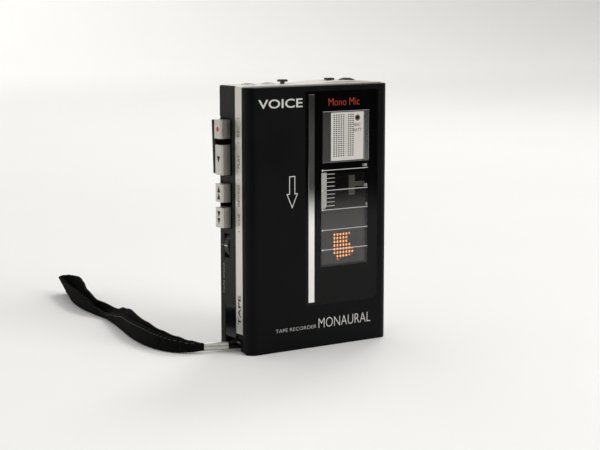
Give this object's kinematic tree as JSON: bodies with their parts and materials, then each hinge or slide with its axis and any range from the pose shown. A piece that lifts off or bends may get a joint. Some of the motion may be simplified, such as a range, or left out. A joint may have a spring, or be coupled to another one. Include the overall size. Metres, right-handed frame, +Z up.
{
  "type": "pocket cassette recorder",
  "caption": "Upright pocket voice recorder for compact cassettes: windowed front lid, sprung side keys, top jacks, slide switches and volume wheel, and a woven wrist strap.",
  "frame": {"origin": "middle of the base of the case, on the surface it stands on", "axes": "+X to the right of the front face, +Y into the depth towards the rear cover, +Z up"},
  "size_m": [0.1014, 0.1802, 0.1179],
  "materials": {
    "black_moulding": "moulded ABS, fine matt",
    "black_textured": "spark-textured ABS",
    "black_gloss": "polished black acrylic",
    "silver": "satin anodised aluminium",
    "mirror_chrome": "bright chrome",
    "cap_silver": "brushed aluminium",
    "blasted_silver": "bead-blasted aluminium",
    "steel": "zinc-plated sheet and ground rod",
    "brass": "turned brass",
    "rubber": "matt rubber",
    "smoked_window": "smoked acrylic",
    "red_lens": "red polycarbonate",
    "orange": "fluorescent orange",
    "board": "epoxy board with parts",
    "webbing": "woven polyester"
  },
  "bodies": {
    "case": {"middle_case": "black_moulding", "silver_band": "silver", "rear_cover": "black_textured", "strap_bracket": "black_gloss", "strap_pin": "steel", "deck_cover": "black_moulding", "chassis_plate": "steel", "motor": "steel", "drive_belt": "rubber", "key_guide": "black_moulding", "mic_jack": "silver", "ear_jack": "silver", "switch_bodies": "steel", "volume_control": "steel", "circuit_board": "board", "speaker": "steel", "battery_contacts": "steel", "case_screws": "steel", "strap_cord": "webbing", "strap_ferrule": "silver", "strap_webbing": "webbing", "strap_loop": "webbing"},
    "hinge_carrier": {"hinge_carrier": "steel"},
    "lid": {"lid_shell": "black_moulding", "front_panel": "black_gloss", "accent_strip": "mirror_chrome", "tape_window": "smoked_window", "mic_bezel": "mirror_chrome", "mic_grille": "blasted_silver", "mic_capsule": "steel", "record_lamp": "red_lens", "indicator_mask": "black_moulding", "cassette_spring": "steel", "hinge_pins": "steel"},
    "indicator": {"indicator_disc": "orange"},
    "record_button": {"record_key": "black_moulding", "record_cap": "cap_silver"},
    "play_button": {"play_key": "black_moulding", "play_cap": "cap_silver"},
    "rewind_button": {"rewind_key": "black_moulding", "rewind_cap": "cap_silver"},
    "forward_button": {"forward_key": "black_moulding", "forward_cap": "cap_silver"},
    "stop_button": {"stop_key": "black_textured"},
    "heads": {"head_plate": "steel", "record_play_head": "steel", "erase_head": "steel"},
    "pinch_lever": {"pinch_arm": "steel"},
    "pinch_roller": {"pinch_roller": "rubber"},
    "flywheel": {"capstan": "steel", "flywheel": "brass"},
    "motor_pulley": {"motor_pulley": "brass"},
    "idler": {"idler_wheel": "rubber"},
    "takeup_reel": {"takeup_spindle": "black_moulding"},
    "supply_reel": {"supply_spindle": "black_moulding"},
    "left_knob": {"left_switch_knob": "black_moulding"},
    "right_knob": {"right_switch_knob": "black_moulding"},
    "volume": {"volume_wheel": "black_moulding"},
    "speed": {"speed_wheel": "black_moulding"},
    "battery_door": {"battery_door": "black_textured"}
  },
  "joints": [
    {"name": "lid_slide", "type": "slide", "parent": "case", "child": "hinge_carrier", "axis": [0, 0, -1], "range_m": [0, 0.0025]},
    {"name": "lid_hinge", "type": "hinge", "parent": "hinge_carrier", "child": "lid", "pos_m": [0, -0.0098, 0.0028], "axis": [1, 0, 0], "range_deg": [0, 80]},
    {"name": "indicator_spin", "type": "hinge", "parent": "lid", "child": "indicator", "pos_m": [0.0066, -0.0101, 0.03675], "axis": [0, 1, 0], "continuous": true},
    {"name": "record_press", "type": "slide", "parent": "case", "child": "record_button", "axis": [1, 0, 0], "range_m": [0, 0.0024], "stiffness_N_per_m": 250, "springref_m": -0.003},
    {"name": "play_press", "type": "slide", "parent": "case", "child": "play_button", "axis": [1, 0, 0], "range_m": [0, 0.0024], "stiffness_N_per_m": 250, "springref_m": -0.003},
    {"name": "rewind_press", "type": "slide", "parent": "case", "child": "rewind_button", "axis": [1, 0, 0], "range_m": [0, 0.0024], "stiffness_N_per_m": 250, "springref_m": -0.003},
    {"name": "forward_press", "type": "slide", "parent": "case", "child": "forward_button", "axis": [1, 0, 0], "range_m": [0, 0.0024], "stiffness_N_per_m": 250, "springref_m": -0.003},
    {"name": "stop_press", "type": "slide", "parent": "case", "child": "stop_button", "axis": [1, 0, 0], "range_m": [0, 0.0024], "stiffness_N_per_m": 250, "springref_m": -0.003},
    {"name": "head_slide", "type": "slide", "parent": "case", "child": "heads", "axis": [1, 0, 0], "range_m": [0, 0.0024]},
    {"name": "pinch_swing", "type": "hinge", "parent": "case", "child": "pinch_lever", "pos_m": [-0.0286, 0.002, 0.014], "axis": [0, 1, 0], "range_deg": [0, 9.8]},
    {"name": "roller_spin", "type": "hinge", "parent": "pinch_lever", "child": "pinch_roller", "pos_m": [-0.0292, -0.0046, 0.028], "axis": [0, 1, 0], "continuous": true},
    {"name": "capstan_spin", "type": "hinge", "parent": "case", "child": "flywheel", "pos_m": [-0.0217, 0.0014, 0.028], "axis": [0, 1, 0], "continuous": true},
    {"name": "motor_spin", "type": "hinge", "parent": "case", "child": "motor_pulley", "pos_m": [0.021, 0.0094, 0.058], "axis": [0, 1, 0], "continuous": true},
    {"name": "idler_spin", "type": "hinge", "parent": "case", "child": "idler", "pos_m": [-0.00688, 0.0051, 0.03258], "axis": [0, 1, 0], "continuous": true},
    {"name": "takeup_spin", "type": "hinge", "parent": "case", "child": "takeup_reel", "pos_m": [0.0066, -0.0026, 0.03675], "axis": [0, 1, 0], "continuous": true},
    {"name": "supply_spin", "type": "hinge", "parent": "case", "child": "supply_reel", "pos_m": [0.0066, -0.0026, 0.07925], "axis": [0, 1, 0], "continuous": true},
    {"name": "left_switch_slide", "type": "slide", "parent": "case", "child": "left_knob", "axis": [1, 0, 0], "range_m": [0, 0.005]},
    {"name": "right_switch_slide", "type": "slide", "parent": "case", "child": "right_knob", "axis": [-1, 0, 0], "range_m": [0, 0.0042]},
    {"name": "volume_turn", "type": "hinge", "parent": "case", "child": "volume", "pos_m": [0.0242, 0.0024, 0.1095], "axis": [0, 1, 0], "range_deg": [-135, 135]},
    {"name": "speed_turn", "type": "hinge", "parent": "case", "child": "speed", "pos_m": [-0.0304, 0.0056, 0.0463], "axis": [0, 1, 0], "range_deg": [-70, 70]},
    {"name": "battery_door_slide", "type": "slide", "parent": "case", "child": "battery_door", "axis": [0, 0, -1], "range_m": [0, 0.012]}
  ],
  "couplings": [
    {"joint": "head_slide", "follows": "play_press", "ratio": 1},
    {"joint": "pinch_swing", "follows": "play_press", "rad_per_m": 71.26},
    {"joint": "roller_spin", "follows": "capstan_spin", "ratio": -0.25},
    {"joint": "motor_spin", "follows": "capstan_spin", "ratio": 2.6},
    {"joint": "idler_spin", "follows": "capstan_spin", "ratio": -2.0755},
    {"joint": "takeup_spin", "follows": "capstan_spin", "ratio": 1.1556},
    {"joint": "indicator_spin", "follows": "capstan_spin", "ratio": 1.1556}
  ]
}
